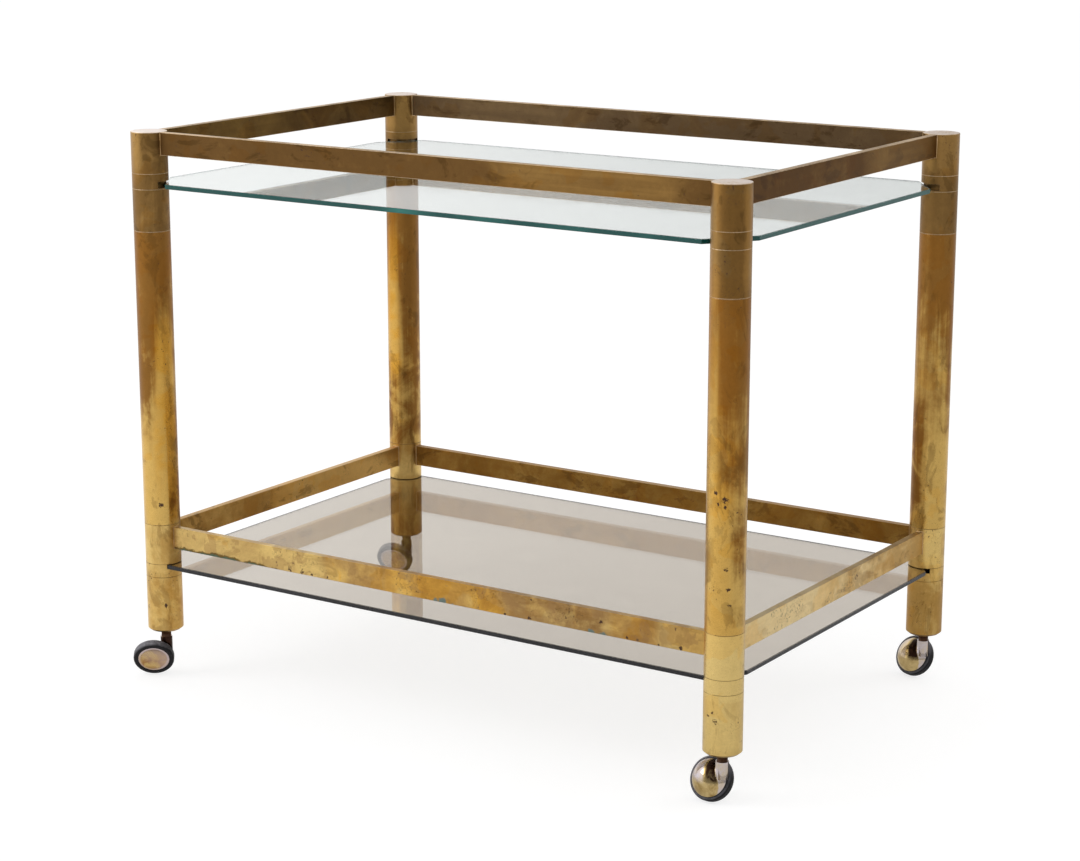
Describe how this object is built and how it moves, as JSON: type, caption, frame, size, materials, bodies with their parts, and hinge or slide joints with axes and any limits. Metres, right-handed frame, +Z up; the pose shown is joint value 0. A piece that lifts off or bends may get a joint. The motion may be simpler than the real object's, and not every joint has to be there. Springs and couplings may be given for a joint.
{
  "type": "dessert trolley",
  "caption": "Tiered brass serving trolley: round stacked posts, flat bar rails round each tier, clear and smoked glass shelves, swivelling ball casters.",
  "frame": {"origin": "on the floor under the middle of the four posts", "axes": "+Z up, +X to the right along the long side, +Y to the back"},
  "size_m": [0.7831, 0.5156, 0.622],
  "materials": {
    "aged_brass": "satin, darkened by age, with brown patches and upright streaks",
    "golden_brass": "satin, blotched, with dark spots and a little verdigris",
    "polished_brass": "bright, worn",
    "plain_brass": "turned",
    "clear_glass": "clear with a green edge",
    "smoked_glass": "smoked brown with a near black edge",
    "dark_steel": "browned",
    "dark_rubber": "matt, scuffed"
  },
  "bodies": {
    "frame": {"front_left_foot": "golden_brass", "front_left_lower_shelf_ring": "golden_brass", "front_left_lower_rail_block": "golden_brass", "front_left_post_tube": "aged_brass", "front_left_spacer": "aged_brass", "front_left_upper_shelf_ring": "aged_brass", "front_left_upper_rail_block": "aged_brass", "front_right_foot": "golden_brass", "front_right_lower_shelf_ring": "golden_brass", "front_right_lower_rail_block": "golden_brass", "front_right_post_tube": "aged_brass", "front_right_spacer": "aged_brass", "front_right_upper_shelf_ring": "aged_brass", "front_right_upper_rail_block": "aged_brass", "back_right_foot": "golden_brass", "back_right_lower_shelf_ring": "golden_brass", "back_right_lower_rail_block": "golden_brass", "back_right_post_tube": "aged_brass", "back_right_spacer": "aged_brass", "back_right_upper_shelf_ring": "aged_brass", "back_right_upper_rail_block": "aged_brass", "back_left_foot": "golden_brass", "back_left_lower_shelf_ring": "golden_brass", "back_left_lower_rail_block": "golden_brass", "back_left_post_tube": "aged_brass", "back_left_spacer": "aged_brass", "back_left_upper_shelf_ring": "aged_brass", "back_left_upper_rail_block": "aged_brass", "front_upper_rail": "aged_brass", "front_lower_rail": "golden_brass", "back_upper_rail": "aged_brass", "back_lower_rail": "golden_brass", "left_upper_rail": "aged_brass", "left_lower_rail": "golden_brass", "right_upper_rail": "aged_brass", "right_lower_rail": "golden_brass", "upper_glass": "clear_glass", "lower_glass": "smoked_glass", "tie_rods": "dark_steel", "tie_washers": "dark_steel", "tie_nuts": "dark_steel", "locating_plugs": "plain_brass", "caster_bushes": "dark_steel"},
    "front_left_caster": {"front_left_caster_stem": "dark_steel", "front_left_caster_hood": "polished_brass"},
    "front_left_wheel": {"front_left_wheel_disc": "polished_brass", "front_left_tyre": "dark_rubber"},
    "front_right_caster": {"front_right_caster_stem": "dark_steel", "front_right_caster_hood": "polished_brass"},
    "front_right_wheel": {"front_right_wheel_disc": "polished_brass", "front_right_tyre": "dark_rubber"},
    "back_right_caster": {"back_right_caster_stem": "dark_steel", "back_right_caster_hood": "polished_brass"},
    "back_right_wheel": {"back_right_wheel_disc": "polished_brass", "back_right_tyre": "dark_rubber"},
    "back_left_caster": {"back_left_caster_stem": "dark_steel", "back_left_caster_hood": "polished_brass"},
    "back_left_wheel": {"back_left_wheel_disc": "polished_brass", "back_left_tyre": "dark_rubber"}
  },
  "joints": [
    {"name": "front_left_swivel", "type": "hinge", "parent": "frame", "child": "front_left_caster", "pos_m": [-0.364, -0.231, 0.05504], "axis": [0, 0, 1], "continuous": true},
    {"name": "front_left_wheel_spin", "type": "hinge", "parent": "front_left_caster", "child": "front_left_wheel", "pos_m": [-0.37558, -0.23973, 0.02454], "axis": [0.5409, -0.7178, -0.4384], "continuous": true},
    {"name": "front_right_swivel", "type": "hinge", "parent": "frame", "child": "front_right_caster", "pos_m": [0.364, -0.231, 0.05504], "axis": [0, 0, 1], "continuous": true},
    {"name": "front_right_wheel_spin", "type": "hinge", "parent": "front_right_caster", "child": "front_right_wheel", "pos_m": [0.3495, -0.23075, 0.02454], "axis": [0.0157, 0.8987, -0.4384], "continuous": true},
    {"name": "back_right_swivel", "type": "hinge", "parent": "frame", "child": "back_right_caster", "pos_m": [0.364, 0.231, 0.05504], "axis": [0, 0, 1], "continuous": true},
    {"name": "back_right_wheel_spin", "type": "hinge", "parent": "back_right_caster", "child": "back_right_wheel", "pos_m": [0.34977, 0.23377, 0.02454], "axis": [0.1715, 0.8823, -0.4384], "continuous": true},
    {"name": "back_left_swivel", "type": "hinge", "parent": "frame", "child": "back_left_caster", "pos_m": [-0.364, 0.231, 0.05504], "axis": [0, 0, 1], "continuous": true},
    {"name": "back_left_wheel_spin", "type": "hinge", "parent": "back_left_caster", "child": "back_left_wheel", "pos_m": [-0.37779, 0.22652, 0.02454], "axis": [0.2777, -0.8548, -0.4384], "continuous": true}
  ]
}
